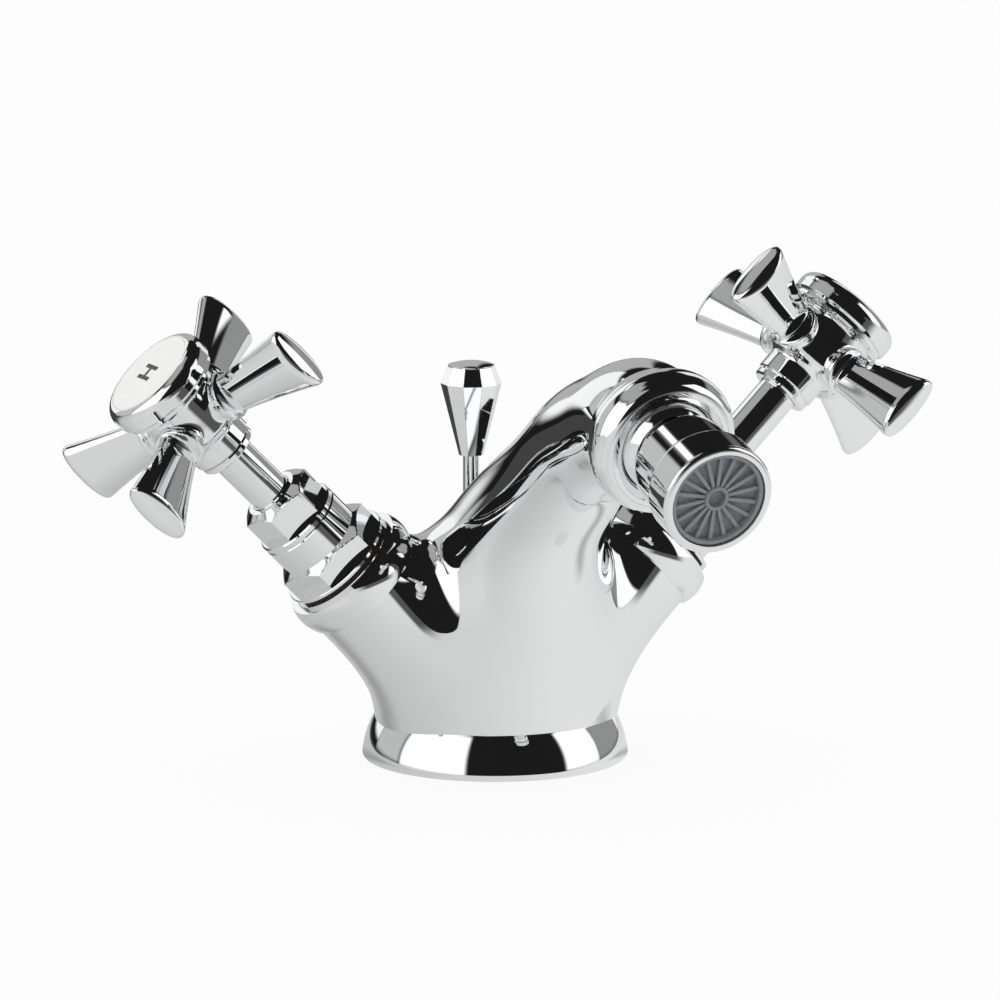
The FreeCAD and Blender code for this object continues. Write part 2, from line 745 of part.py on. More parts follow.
def blade():
    """One blade that flares from an oval root to a tall oval tip with a low dome."""
    mid = hub_bottom + cross_up
    tip = handle_span / 2
    ovals = []
    for i in range(blade_sections):
        way = i / (blade_sections - 1)
        x = blade_root_x + way * (tip - blade_root_x)
        tall = blade_root_half + (blade_tip_half - blade_root_half) * way ** blade_flare
        thick = blade_root_t + (blade_tip_t - blade_root_t) * way ** blade_swell
        oval = Part.Ellipse(V(x, 0, mid + tall), V(x, thick / 2, mid), V(x, 0, mid))
        ovals.append(Part.Wire(oval.toShape()))
    solid = Part.makeLoft(ovals, True, False)
    dome_r = (blade_tip_half ** 2 + blade_tip_bow ** 2) / (2 * blade_tip_bow)
    solid = solid.common(Part.makeSphere(dome_r, V(tip - dome_r, 0, mid)))
    rim = [e for e in solid.Edges if e.BoundBox.XMin > tip - 2 * blade_tip_bow]
    return solid.makeFillet(blade_edge_r, rim)


def crosshead(phase):
    mid = V(core_r + 0.6, 0, hub_bottom + cross_up)
    collar = Part.makeCylinder(blade_collar_r, blade_collar_t, mid, V(1, 0, 0))
    boss = Part.makeCylinder(blade_boss_r, blade_boss_l, mid - V(blade_boss_l, 0, 0), V(1, 0, 0))
    fan = blade()
    limbs = []
    for i in range(blades):
        for piece in (fan, collar, boss):
            limb = piece.copy()
            limb.rotate(V(0, 0, 0), V(0, 0, 1), phase + 360.0 * i / blades)
            limbs.append(limb)
    solid = hub().fuse(limbs)
    solid = solid.cut(prism(square_af + 2 * thread_gap, 4, hub_bottom - over, screw_ledge + over, 45))
    solid = solid.cut(cyl(screw_head_r + screw_room, screw_ledge, hub_top))
    return solid.cut(cyl(index_plug_r, hub_top - index_plug_l - free_gap, hub_top + over))


def handle_screw():
    shank = cyl(screw_r - thread_gap, hub_bottom + screw_in, screw_ledge + thread_gap)
    head_hi = screw_ledge + screw_head_h
    screw = shank.fuse(cyl(screw_head_r, screw_ledge, head_hi))
    return screw.cut(prism(screw_key_af, 6, head_hi - screw_key_depth, head_hi + over))


index_disc_r = index_r - index_rim


def index_cap():
    """Screwed cap with a rim round the index disc."""
    edge_lo = (index_r - index_bevel, hub_top)
    side_lo, side_hi = (index_r, hub_top + index_bevel), (index_r, index_top - index_brow_h)
    rim = (index_r - index_brow_in, index_top)
    edges = lines([(0, hub_top), edge_lo, side_lo, side_hi])
    brow = (index_r - index_brow_bend * index_brow_in, index_top - index_brow_bend * index_brow_h)
    edges.append(arc(side_hi, brow, rim))
    edges += lines([rim, (0, index_top), (0, hub_top)])
    cap = revolved(edges).fuse(cyl(index_plug_r - thread_gap, hub_top - index_plug_l, hub_top + thread_gap))
    cap = cap.cut(cyl(index_plug_r - index_plug_wall, hub_top - index_plug_l - over, hub_top + index_hollow))
    return cap.cut(cyl(index_disc_r + thread_gap, index_top - index_disc_t, index_top + over))


def index_disc(phase):
    disc = cyl(index_disc_r, index_top - index_disc_t, index_top)
    disc.rotate(V(0, 0, 0), V(0, 0, 1), phase)
    return disc


os.makedirs("parts", exist_ok=True)

save("body_casting", body_casting())
save("base_gasket", ring(groove_r_in + gasket_side, groove_r_out - gasket_side, 0, groove_h - gasket_side))

save("rod_guide_bush", on_rod(rod_guide_bush()))
save("rod_seal", on_rod(rod_seal()))
save("pull_rod", on_rod(cyl(rod_r, rod_lo, rod_top)))
save("pull_knob", on_rod(pull_knob()))

for make in (socket_seal, ball_seat, swivel_retainer, swivel_ball, nozzle_sleeve, aerator_housing,
             aerator_washer, aerator_screen, aerator_insert):
    save(make.__name__, on_nozzle(make()))

for word, side, phase, opened in (("hot", -1, hot_phase, 0.0), ("cold", 1, cold_phase, cold_open)):
    for make in (bonnet_washer, bonnet, gland_packing, gland_nut):
        save(word + "_" + make.__name__, on_valve(make(), side))
    handle = {"crosshead": crosshead(phase), "index_disc": index_disc(phase)}
    for make in (spindle, jumper, jumper_washer, washer_nut, handle_screw, index_cap):
        handle[make.__name__] = make()
    for name, shape in handle.items():
        shape.translate(V(0, 0, opened))
        save(word + "_" + name, on_valve(shape, side))
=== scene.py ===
import json
import math
import bpy
import numpy as np
from mathutils import Matrix, Vector


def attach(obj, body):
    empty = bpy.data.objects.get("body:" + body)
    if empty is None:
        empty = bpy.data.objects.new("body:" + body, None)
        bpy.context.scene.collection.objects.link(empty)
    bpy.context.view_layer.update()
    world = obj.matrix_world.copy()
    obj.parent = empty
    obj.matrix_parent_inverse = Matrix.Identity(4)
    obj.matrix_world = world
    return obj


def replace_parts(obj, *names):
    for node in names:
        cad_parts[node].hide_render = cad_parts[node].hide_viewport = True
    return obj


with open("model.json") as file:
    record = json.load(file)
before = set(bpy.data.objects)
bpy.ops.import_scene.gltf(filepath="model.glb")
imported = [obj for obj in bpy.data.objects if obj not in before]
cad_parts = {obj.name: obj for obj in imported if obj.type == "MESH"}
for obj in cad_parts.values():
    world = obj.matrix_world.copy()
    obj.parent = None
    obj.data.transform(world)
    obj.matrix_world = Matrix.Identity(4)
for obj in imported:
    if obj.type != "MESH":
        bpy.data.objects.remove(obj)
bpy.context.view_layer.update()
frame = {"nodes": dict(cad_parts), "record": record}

scene = bpy.context.scene

# Lengths are millimetres and angles are written in degrees; meshes are made in metres
mm = 0.001

# Camera, fitted to the photograph
view_turn = -24.31
view_rise = 10.1
view_distance = 1500.0
view_aim = (0.98, 50.88)      # how far the picture's middle lies right of and above the origin
view_reach = 20000.0
pixels_per_mm = 5.01
picture_width = 1000
sensor_width = 36.0

# Casting
foot_r = 26.48
foot_low_r = 25.5
foot_wide = 1.1               # height of its widest point
foot_bulge = 0.45
foot_h = 8.8
foot_lap = 0.2                # how far its ring reaches up inside the bell
foot_fit = 0.02               # between its ring and the gasket's groove
crease_r = 24.0
bell_r = 22.9
bell_top = 47.0
bell_waist_z = 12.0
bell_power = 2.75
neck_r = 11.975
neck_blend = 9.0
neck_blend_z = (12.0, 30.0)   # heights between which the blend comes in
arm_blend = 13.0
groove_r = (20.0, 23.0)
groove_h = 2.0

# Valve arms, measured along each valve axis from where the two cross
valve_y = -2.0
valve_cross_z = 8.0
valve_tilt = math.radians(45.0)
arm_start = 8.0
arm_core_end = 45.0           # hidden in the bead
arm_end = 48.7
arm_root_r = 13.6
arm_r = 12.5
arm_sink = 0.4                # how far inside the arm the bead starts
bead_r = 13.8
bead_lo = 42.1
bead_hi = 48.0

# Bores of the casting
shank_r = 9.5
shank_lo = 34.7
chamber_r = 8.0
chamber_lo = 26.7
seat_hole_r = 4.7
feed_lo = 22.7
bore_end = 60.0               # past the arm's end
inlet_out = 13.0
inlet_r = 5.0
inlet_h = 11.0
stud_y = -15.4
stud_r = 4.0
stud_h = 14.0
rod_y = 11.6
rod_hole_r = 1.95
bush_r = 3.74
bush_lo = 34.0
bush_head_r = 4.98
bush_head_lo = 43.1

# Nozzle's socket and the ring round it: radii and ways along the nozzle's axis from the ball's centre
ball_at = np.array((0.0, -76.5, 75.5))
nozzle_pitch = math.radians(17.0)
nozzle_dir = np.array((0.0, -math.cos(nozzle_pitch), -math.sin(nozzle_pitch)))
socket_r = 9.5
socket_floor = -8.5
mouth_at = -3.0               # where the neck stops inside the ring
mouth_r = 30.0                # wider than the ring
ring_back = (neck_r - 0.3, -8.0)
ring_cove = (neck_r + 0.9, -4.6)
ring_shoulder = (14.0, -2.4)
ring_widest = (14.5, 0.2)
ring_front = (13.8, 2.8)
ring_edge = (12.7, 4.2)
ring_lip = (12.2, 4.4)
retainer_r = 12.0
retainer_lo = -2.2
ball_room_r = 10.475
ball_room_lo = -6.4

# Valves: word, side and how far each stands open
cold_open = 5.3
valves = (("hot", -1, 0.0), ("cold", 1, cold_open))

# Index discs with their letters
index_top = 105.2
disc_r = 9.25
disc_t = 1.2
disc_crown = 0.3
disc_bevel = 0.15
letters = {"hot": "H", "cold": "C"}
letter_half = 2.5
letter_stroke = 0.85
letter_root = 0.8             # share of the crown's height at which a letter starts
letter_stand = 0.05
h_half = 1.75
c_narrow = 0.88
c_gap = 48                    # half its opening
c_steps = 32

# Aerator, measured along the nozzle's axis
rim_r = 9.43
rim_wall = 0.9
rim_bevel = 0.25
rim_lip = 0.2
insert_hi = 25.6
screen_r = 8.51
screen_hi = 22.13
screen_t = 0.4
screen_up = 1.7               # how far it stands up between the spokes
core_r = 2.4
core_hi = 25.3
core_bevel = 0.2
core_hole_r = 1.75
core_hole_h = 1.6
core_hole_bevel = 0.15
spoke_count = 18
spoke_t = 0.62
spoke_hi = 24.7
spoke_lap = 0.1
spoke_widen = 1.25

# Headwork, measured along a valve axis
bonnet_foot = 49.5
hex_lo = 50.3
hex_hi = 55.1
barrel_hi = 60.9
gland_hex_lo = 62.3
gland_hi = 69.2
skirt_lo = 35.2
skirt_hi = 37.9
packing_lo = 53.9
packing_hi = 56.4
packing_floor = 53.3
flange_r = 11.8
flange_bevel = 0.15
barrel_r = 8.7
barrel_bevel = 0.3
gland_bevel = 0.2
gland_wall = 1.0              # left round the bore by the chamfer
packing_r = 6.4
thread_r = 5.5
skirt_r = 7.0
bore_r = 4.28
fit_gap = 0.04
bonnet_across = 19.0
gland_across = 13.8
hex_chamfer = 1.4
chamfer_slope = 1.7
chamfer_steps = 10
bonnet_turn = math.radians(-5.625)
gland_turn = math.radians(-9.375)
hair = 0.01                   # keeps two rows of an outline apart

# Crosshead: heights above the hub's underside, radii about its axis
hub_bottom = 81.7
hub_foot_r = 6.1
hub_foot_bevel = 0.4
hub_groove_r = 5.6
hub_groove = (1.3, 1.8)
hub_neck_r = 6.45
hub_neck_h = 5.0
hub_neck_bevel = 0.25
hub_core_r = 8.6
hub_core = (4.5, 17.7)
hub_inset = 0.02              # of the core in the turned neck
hub_swell = (5.6, 8.4)
hub_cove_lo = 16.1
hub_cove_h = 1.7
hub_cove_power = 4
hub_flange_r = 10.8
hub_flange_lo = 17.6
hub_flange_under = (0.6, 0.25)
hub_flange_bevel = 0.2
hub_h = 18.7
spindle_room = 4.3
plug_r = 7.0
plug_lo = 13.85
cross_up = 10.9
blade_tip = 29.7
blade_tip_half = 7.45
blade_tip_thick = 3.6         # half thickness
blade_root = 6.0
blade_root_half = 4.1
blade_root_thick = 2.3
blade_flare = 1.45
blade_swell = 2.4
blade_crown = (1.3, 0.6)      # crown of the tip across its thickness and its height
blade_round = 1.6
blade_blend = 1.6
collar_r = 5.0
collar_at = 9.95
collar_half = 0.75
collar_round = 0.8
collar_blend = 1.0
boss_r = 4.3
boss_blend = 0.6
blade_turn = {"hot": math.radians(42.0), "cold": math.radians(24.0)}

# Grids of the flowing forms, and how their points are found
casting_pitch = 0.7
casting_lo = np.array((-43.0, -79.0, -1.4))
casting_hi = np.array((43.0, 26.0, 92.0))
crosshead_pitch = 0.5
crosshead_lo = np.array((-31.0, -31.0, 2.2))
crosshead_hi = np.array((31.0, 31.0, 19.7))
slope_probe = 0.02
normal_probe = 0.05
form_rounds = 4
cut_rounds = 3
crease_rounds = 5
line_samples = 160
line_rounds = 6
line_step = 1.5
least_bend = 0.2
least_slope = 0.05
least_blend = 1e-6
tiny = 1e-9

# Fineness of the turned pieces, and the angles that count as edges
round_sides = 192
rim_sides = 128
disc_sides = 96
core_sides = 64
arc_steps = 24
ring_steps = 14
edge_steps = 10
shell_crease = math.radians(40.0)
lathe_crease = math.radians(30.0)

# Finishes: darker and lighter colour, size of the mottle, least and greatest roughness, relief, metallic
chrome_finish = ((0.86, 0.865, 0.87), (0.9, 0.903, 0.907), 22.0, (0.012, 0.045), 0.0006, 1.0)
brass_finish = ((0.62, 0.43, 0.17), (0.74, 0.55, 0.26), 3.0, (0.25, 0.42), 0.01, 1.0)
# Steel's own grey, raised as painted light so the aerator's screen is not as dark as the shade in its recess
steel_with_painted_light_finish = ((0.17, 0.175, 0.185), (0.25, 0.255, 0.265), 0.5, (0.4, 0.6), 0.03)
rubber_finish = ((0.012, 0.012, 0.013), (0.03, 0.03, 0.031), 0.5, (0.6, 0.8), 0.02)
ptfe_finish = ((0.72, 0.72, 0.7), (0.82, 0.82, 0.81), 1.2, (0.4, 0.55), 0.01)
fibre_finish = ((0.02, 0.014, 0.012), (0.04, 0.024, 0.02), 0.4, (0.7, 0.9), 0.05)
grey_finish = ((0.2, 0.208, 0.22), (0.25, 0.258, 0.27), 0.8, (0.3, 0.45), 0.008)
enamel_finish = ((0.9, 0.9, 0.89), (0.94, 0.94, 0.93), 4.0, (0.08, 0.16), 0.002)
ink_finish = ((0.012, 0.012, 0.012), (0.03, 0.03, 0.03), 0.8, (0.3, 0.5), 0.002)
edge_round = 0.18             # of the solids' sharp corners
mottle_detail = 5.0
mottle_span = (0.3, 0.7)
relief_strength = 0.5

# Floor as the metal mirrors it. A patch has its middle azimuth from the front towards +X, half width and
# soft edge, the distances between which it comes in, and its strength
floor_bright = 0.69
floor_swing = 0.14
floor_side = 50.0
floor_pool = ((-80.0, 30.0, 40.0), (60.0, 110.0), 0.12)
# Painted shadows: the mirrored floor's glow is darkened beside the foot at these two azimuths
floor_foot_shadows = [((76.0, 8.0, 22.0), (65.0, 45.0), 0.38),
                ((-115.0, 14.0, 24.0), (65.0, 45.0), 0.18)]
floor_ends = [((12.0, 34.0, 26.0), (190.0, 300.0), 0.88),
              ((-165.0, 32.0, 20.0), (90.0, 200.0), 0.9)]
floor_start = 4.0
floor_reach = 8000.0
floor_rows = 90
floor_turn = 4.0
floor_white = 0.92
floor_rough = 0.9
floor_glow = 0.9              # share of plain white that the camera sees

# Room: dome and the soft boxes on it, each with its azimuths from the front towards +X, its elevations, its
# level and the width of its soft edge
ambient = 0.92
room_reach = 2200.0
room_up = 40.0
room_dark = 0.012
room_low = -1.0
room_rows = 92
room_turn = 1.0
soft_boxes = [((-115, -50), (-1, 44), 1.25, 5),
              ((-155, -62), (46, 76), 0.4, 8),
              ((-152, -117), (0, 36), 0.55, 5),
              ((-166, -147), (47, 52.5), 1.3, 1.5),
              ((40, 78), (-1, 44), 1.25, 5),
              ((78, 122), (-1, 30), 0.3, 6),
              ((122, 138), (-1, 44), 0.9, 4),
              ((150, 182), (2, 42), 0.45, 4),
              ((180, 208), (4, 44), 1.0, 4)]

# Middle line of the spout: y, z and its radius there
spout_line = [(0.0, -6.0, 23.5), (0.0, 5.0, 23.45), (0.0, 12.0, 23.35), (-1.1, 20.0, 22.7),
              (-4.0, 29.0, 21.0), (-8.9, 38.0, 18.4), (-15.6, 47.0, 15.6), (-24.2, 54.8, 13.4),
              (-34.6, 62.4, 12.25), (-46.5, 70.4, 12.0), (-58.5, 75.2, neck_r), (-68.85, 77.84, neck_r),
              (-76.5, 75.5, neck_r), (-84.15, 73.16, neck_r)]


def smooth_min(a, b, k):
    """Smallest of two distances, rounded where they come within k of each other."""
    near = np.maximum(k - np.abs(a - b), 0.0) / np.maximum(k, least_blend)
    return np.minimum(a, b) - near ** 3 * k / 6


def ramp(x, lo, hi):
    """Smooth step from zero at lo to one at hi."""
    t = np.clip((x - lo) / (hi - lo), 0.0, 1.0)
    return t * t * (3 - 2 * t)


class Spline:
    """Natural cubic spline through rows of values, by chord length."""

    def __init__(self, rows):
        self.y = np.array(rows, float)
        steps = np.linalg.norm(np.diff(self.y[:, :2], axis=0), axis=1)
        self.t = np.concatenate([[0.0], np.cumsum(steps)])
        n = len(self.t)
        a = np.zeros((n, n))
        b = np.zeros((n, self.y.shape[1]))
        a[0, 0] = a[-1, -1] = 1.0
        for i in range(1, n - 1):
            a[i, i - 1], a[i, i + 1] = steps[i - 1], steps[i]
            a[i, i] = 2 * (steps[i - 1] + steps[i])
            b[i] = 6 * ((self.y[i + 1] - self.y[i]) / steps[i] - (self.y[i] - self.y[i - 1]) / steps[i - 1])
        self.m = np.linalg.solve(a, b)

    def at(self, t):
        """Values, first and second derivatives at t."""
        i = np.clip(np.searchsorted(self.t, t) - 1, 0, len(self.t) - 2)
        h = (self.t[i + 1] - self.t[i])[:, None]
        u = (self.t[i + 1] - t)[:, None]
        v = (t - self.t[i])[:, None]
        m0, m1 = self.m[i], self.m[i + 1]
        c0 = self.y[i] / h - m0 * h / 6
        c1 = self.y[i + 1] / h - m1 * h / 6
        value = (m0 * u ** 3 + m1 * v ** 3) / (6 * h) + c0 * u + c1 * v
        slope = (m1 * v ** 2 - m0 * u ** 2) / (2 * h) + c1 - c0
        bend = (m0 * u + m1 * v) / h
        return value, slope, bend


def gradient(field, p, eps):
    """Slope of a field at points."""
    out = np.empty_like(p)
    for i in range(3):
        step = np.zeros(3)
        step[i] = eps
        out[:, i] = (field(p + step) - field(p - step)) / (2 * eps)
    return out


def project(field, p, reach, rounds):
    """Slide points onto the field's zero surface."""
    for _ in range(rounds):
        g = gradient(field, p, slope_probe)
        move = field(p)[:, None] * g / np.maximum((g * g).sum(1), least_slope)[:, None]
        size = np.linalg.norm(move, axis=1, keepdims=True)
        p = p - move * np.minimum(1.0, reach / np.maximum(size, tiny))
    return p


def grid_axes(lo, hi, pitch):
    """Places of a grid's planes along each axis."""
    counts = np.ceil((hi - lo) / pitch).astype(int) + 1
    return [lo[i] + pitch * np.arange(counts[i]) for i in range(3)]


def surface_net(values, origin, pitch):
    """Quads round the zero level of a grid of distances."""
    inside = values < 0
    shape = np.array(values.shape) - 1
    total = np.zeros(tuple(shape) + (3,))
    count = np.zeros(tuple(shape))
    corners = [(i, j, k) for i in (0, 1) for j in (0, 1) for k in (0, 1)]

    def block(array, c):
        return array[c[0]:c[0] + shape[0], c[1]:c[1] + shape[1], c[2]:c[2] + shape[2]]

    # One point in each cell that the surface crosses, at the mean of the crossings on its edges
    for a in corners:
        for axis in range(3):
            if a[axis]:
                continue
            b = tuple(v + (i == axis) for i, v in enumerate(a))
            fa, fb = block(values, a), block(values, b)
            crossed = block(inside, a) != block(inside, b)
            where = np.where(crossed, fa / np.where(crossed, fa - fb, 1.0), 0.0)
            for i in range(3):
                total[..., i] += np.where(crossed, a[i] + (where if i == axis else 0.0), 0.0)
            count += crossed
    used = count > 0
    number = np.full(tuple(shape), -1)
    number[used] = np.arange(used.sum())
    cells = np.argwhere(used)
    points = origin + pitch * (cells + total[used] / count[used][:, None])
    # One quad round each grid edge that the surface crosses, turned to face outwards
    quads = []
    for axis in range(3):
        near = [slice(1, -1)] * 3
        near[axis] = slice(0, -1)
        far = [slice(1, -1)] * 3
        far[axis] = slice(1, None)
        a, b = inside[tuple(near)], inside[tuple(far)]
        spots = np.argwhere(a != b) + [1 if i != axis else 0 for i in range(3)]
        flip = a[a != b]
        j, k = [i for i in range(3) if i != axis]
        around = []
        for dj, dk in ((-1, -1), (0, -1), (0, 0), (-1, 0)):
            cell = spots.copy()
            cell[:, j] += dj
            cell[:, k] += dk
            around.append(number[tuple(cell.T)])
        quad = np.stack(around, 1)
        if axis == 1:
            flip = ~flip
        quad[~flip] = quad[~flip][:, ::-1]
        quads.append(quad)
    return points, np.concatenate(quads)


def mesh_object(name, points, faces, material, body):
    """A piece from points in millimetres that rides on a body."""
    mesh = bpy.data.meshes.new(name)
    mesh.from_pydata((np.asarray(points) * mm).tolist(), [], [list(map(int, f)) for f in faces])
    mesh.materials.append(material)
    mesh.shade_smooth()
    piece = bpy.data.objects.new(name, mesh)
    scene.collection.objects.link(piece)
    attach(piece, body)
    return piece


def shell_points(values, lo, pitch, form, cuts):
    """Net of a form with cuts: points, quads, which points lie on the form, and the normals there."""
    points, quads = surface_net(values, lo, pitch)
    on_form, on_cut = form(points), cuts(points)
    creased = (np.abs(on_form) < pitch) & (np.abs(on_cut) < pitch)
    outer = (on_form > -on_cut) & ~creased
    inner = ~outer & ~creased
    points[outer] = project(form, points[outer], pitch / 2, form_rounds)
    points[inner] = project(cuts, points[inner], pitch / 2, cut_rounds)
    for _ in range(crease_rounds):
        points[creased] = project(form, points[creased], pitch / 2, 1)
        points[creased] = project(cuts, points[creased], pitch / 2, 1)
    normals = np.zeros_like(points)
    normals[outer] = gradient(form, points[outer], normal_probe)
    normals /= np.maximum(np.linalg.norm(normals, axis=1, keepdims=True), tiny)
    return points, quads, outer, normals


def shell_object(name, net, place, material, body):
    """Piece from a net, moved by a matrix, shaded by the form's own normals."""
    points, quads, outer, exact = net
    turned = np.array(place.to_3x3())
    moved = points @ turned.T + np.array(place.translation)
    piece = mesh_object(name, moved, quads, material, body)
    mesh = piece.data
    mesh.set_sharp_from_angle(angle=shell_crease)
    mesh.update()
    normals = np.zeros((len(mesh.loops), 3), np.float32)
    mesh.corner_normals.foreach_get("vector", normals.ravel())
    corners = np.zeros(len(mesh.loops), int)
    mesh.loops.foreach_get("vertex_index", corners)
    smooth = outer[corners]
    normals[smooth] = (exact @ turned.T)[corners][smooth]
    mesh.normals_split_custom_set(normals.tolist())
    return piece


def lathe(name, outline, place, material, body, sides=round_sides, flats=None):
    """Turned piece from a closed (radius, height) outline about Z, moved by a matrix in millimetres."""
    points, rows, faces = [], [], []
    for r, h in outline:
        count = sides if r > 0 else 1
        rows.append(range(len(points), len(points) + count))
        for i in range(count):
            a = 2 * math.pi * i / sides
            out = flats(r, h, a) if flats else r
            points.append(tuple(place @ Vector((out * math.cos(a), out * math.sin(a), h))))
    for low, high in zip(rows, rows[1:] + rows[:1]):
        for i in range(sides):
            k = (i + 1) % sides
            loop = [low[i % len(low)], low[k % len(low)], high[k % len(high)], high[i % len(high)]]
            loop = list(dict.fromkeys(loop))
            if len(loop) > 2:
                faces.append(loop)
    piece = mesh_object(name, points, faces, material, body)
    piece.data.set_sharp_from_angle(angle=lathe_crease)
    return piece


def prism(name, outline, place, low, high, material, body):
    """Thin plate from a closed outline in the XY plane."""
    n = len(outline)
    points = [tuple(place @ Vector((x, y, h))) for h in (low, high) for x, y in outline]
    faces = [tuple(range(n))[::-1], tuple(range(n, 2 * n))]
    faces += [(i, (i + 1) % n, n + (i + 1) % n, n + i) for i in range(n)]
    piece = mesh_object(name, points, faces, material, body)
    piece.data.shade_flat()
    return piece


def arc_points(a, b, c, count):
    """Points on the circle through three points, from a to c."""
    (ax, ay), (bx, by), (cx, cy) = a, b, c
    d = 2 * (ax * (by - cy) + bx * (cy - ay) + cx * (ay - by))
    aa, bb, cc = ax * ax + ay * ay, bx * bx + by * by, cx * cx + cy * cy
    ux = (aa * (by - cy) + bb * (cy - ay) + cc * (ay - by)) / d
    uy = (aa * (cx - bx) + bb * (ax - cx) + cc * (bx - ax)) / d
    r = math.hypot(ax - ux, ay - uy)
    t0, t1, t2 = [math.atan2(y - uy, x - ux) for x, y in (a, b, c)]
    span = (t2 - t0) % (2 * math.pi)
    if (t1 - t0) % (2 * math.pi) > span:
        span -= 2 * math.pi
    turns = [t0 + span * i / count for i in range(count + 1)]
    return [(ux + r * math.cos(t), uy + r * math.sin(t)) for t in turns]


def bulge_points(widest, end, count):
    """Points on an arc that leaves its widest point upright and draws in to its end."""
    inward, rise = widest[0] - end[0], end[1] - widest[1]
    radius = (inward ** 2 + rise ** 2) / (2 * inward)
    span = math.asin(rise / radius)
    turns = [span * i / count for i in range(count + 1)]
    return [(widest[0] - radius * (1 - math.cos(t)), widest[1] + radius * math.sin(t)) for t in turns]


def valve_place(side):
    """Where the two valve axes cross, with Z along the one on this side."""
    turned = Matrix.Rotation(side * (math.pi / 2 - valve_tilt), 4, "Y")
    return Matrix.Translation((0, valve_y, valve_cross_z)) @ turned


def nozzle_place():
    """The ball's centre, with Z along the nozzle."""
    return Matrix.Translation(ball_at) @ Matrix.Rotation(math.pi / 2 + nozzle_pitch, 4, "X")


def valve_coords(p, side):
    """Way along a valve axis and distance from it."""
    c, s = math.cos(valve_tilt), math.sin(valve_tilt)
    x, y, z = p[..., 0], p[..., 1] - valve_y, p[..., 2] - valve_cross_z
    along = side * x * c + z * s
    across = -side * x * s + z * c
    return along, np.hypot(across, y)


def nozzle_coords(p):
    """Way along the nozzle's axis and distance from it."""
    q = p - ball_at
    along = q @ nozzle_dir
    return along, np.sqrt(np.maximum((q * q).sum(-1) - along ** 2, 0.0))


spout_spline = Spline(spout_line)


def spout_nearest(y, z):
    """Distance in the middle plane to the spout's line, and its radius there."""
    samples = np.linspace(0.0, spout_spline.t[-1], line_samples)
    line = spout_spline.at(samples)[0]
    best = np.argmin((y[:, None] - line[None, :, 0]) ** 2 + (z[:, None] - line[None, :, 1]) ** 2, axis=1)
    t = samples[best]
    for _ in range(line_rounds):
        value, slope, bend = spout_spline.at(t)
        dy, dz = value[:, 0] - y, value[:, 1] - z
        first = dy * slope[:, 0] + dz * slope[:, 1]
        second = slope[:, 0] ** 2 + slope[:, 1] ** 2 + dy * bend[:, 0] + dz * bend[:, 1]
        step = np.clip(first / np.maximum(second, least_bend), -line_step, line_step)
        t = np.clip(t - step, 0.0, spout_spline.t[-1])
    value = spout_spline.at(t)[0]
    return np.hypot(value[:, 0] - y, value[:, 1] - z), value[:, 2]


def casting_form(p, spout=None):
    """Distance to the casting's smooth outer form, without its beads and foot."""
    x, y, z = p[..., 0], p[..., 1], p[..., 2]
    if spout is None:
        spout = spout_nearest(y, z)
    horn = np.sqrt(x * x + spout[0] ** 2) - spout[1]
    bell_h = bell_top - bell_waist_z
    u = np.hypot(x, y) / bell_r
    v = np.maximum(z - bell_waist_z, 0.0) / bell_h
    size = np.maximum(u ** bell_power + v ** bell_power, tiny) ** (1 / bell_power)
    slope = np.hypot((u / size) ** (bell_power - 1) / bell_r, (v / size) ** (bell_power - 1) / bell_h)
    bell = (size - 1) / slope
    form = smooth_min(horn, bell, neck_blend * ramp(z, *neck_blend_z))
    for side in (-1, 1):
        along, out = valve_coords(p, side)
        radius = arm_root_r - (arm_root_r - arm_r) * ramp(along, arm_start, bead_lo)
        arm = np.maximum(out - radius, np.maximum(-along, along - arm_core_end))
        form = smooth_min(form, arm, arm_blend)
    return form


def casting_cuts(p):
    """Distance to everything cut out of the casting; negative inside a cut."""
    x, y, z = p[..., 0], p[..., 1], p[..., 2]
    along, out = nozzle_coords(p)
    cuts = [z, np.maximum(mouth_at - along, out - mouth_r), np.maximum(out - socket_r, socket_floor - along)]
    for side in (-1, 1):
        along, out = valve_coords(p, side)
        for radius, low in ((shank_r, shank_lo), (chamber_r, chamber_lo), (seat_hole_r, feed_lo)):
            cuts.append(np.maximum(out - radius, np.maximum(low - along, along - bore_end)))
        inlet = np.hypot(x - side * inlet_out, y - valve_y)
        cuts.append(np.maximum(inlet - inlet_r, z - inlet_h))
    rod = np.hypot(x, y - rod_y)
    cuts.append(rod - rod_hole_r)
    cuts.append(np.maximum(rod - bush_r, bush_lo - z))
    cuts.append(np.maximum(rod - bush_head_r, bush_head_lo - z))
    stud = np.hypot(x, y - stud_y)
    cuts.append(np.maximum(stud - stud_r, z - stud_h))
    out = np.hypot(x, y)
    groove = np.maximum(groove_r[0] - out, out - groove_r[1])
    cuts.append(np.maximum(groove, z - groove_h))
    return np.minimum.reduce(cuts)


def casting_shell(material):
    """Casting with its bores as one flowing form."""
    axes = grid_axes(casting_lo, casting_hi, casting_pitch)
    gy, gz = np.meshgrid(axes[1], axes[2], indexing="ij")
    away, radius = spout_nearest(gy.ravel(), gz.ravel())
    away, radius = away.reshape(gy.shape), radius.reshape(gy.shape)
    values = np.empty([len(axis) for axis in axes])
    for i, x in enumerate(axes[0]):
        p = np.stack([np.full_like(gy, x), gy, gz], -1)
        values[i] = np.maximum(casting_form(p, (away, radius)), -casting_cuts(p))
    net = shell_points(values, casting_lo, casting_pitch, casting_form, casting_cuts)
    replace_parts(shell_object("casting_shell", net, Matrix(), material, "tap"), "body_casting")


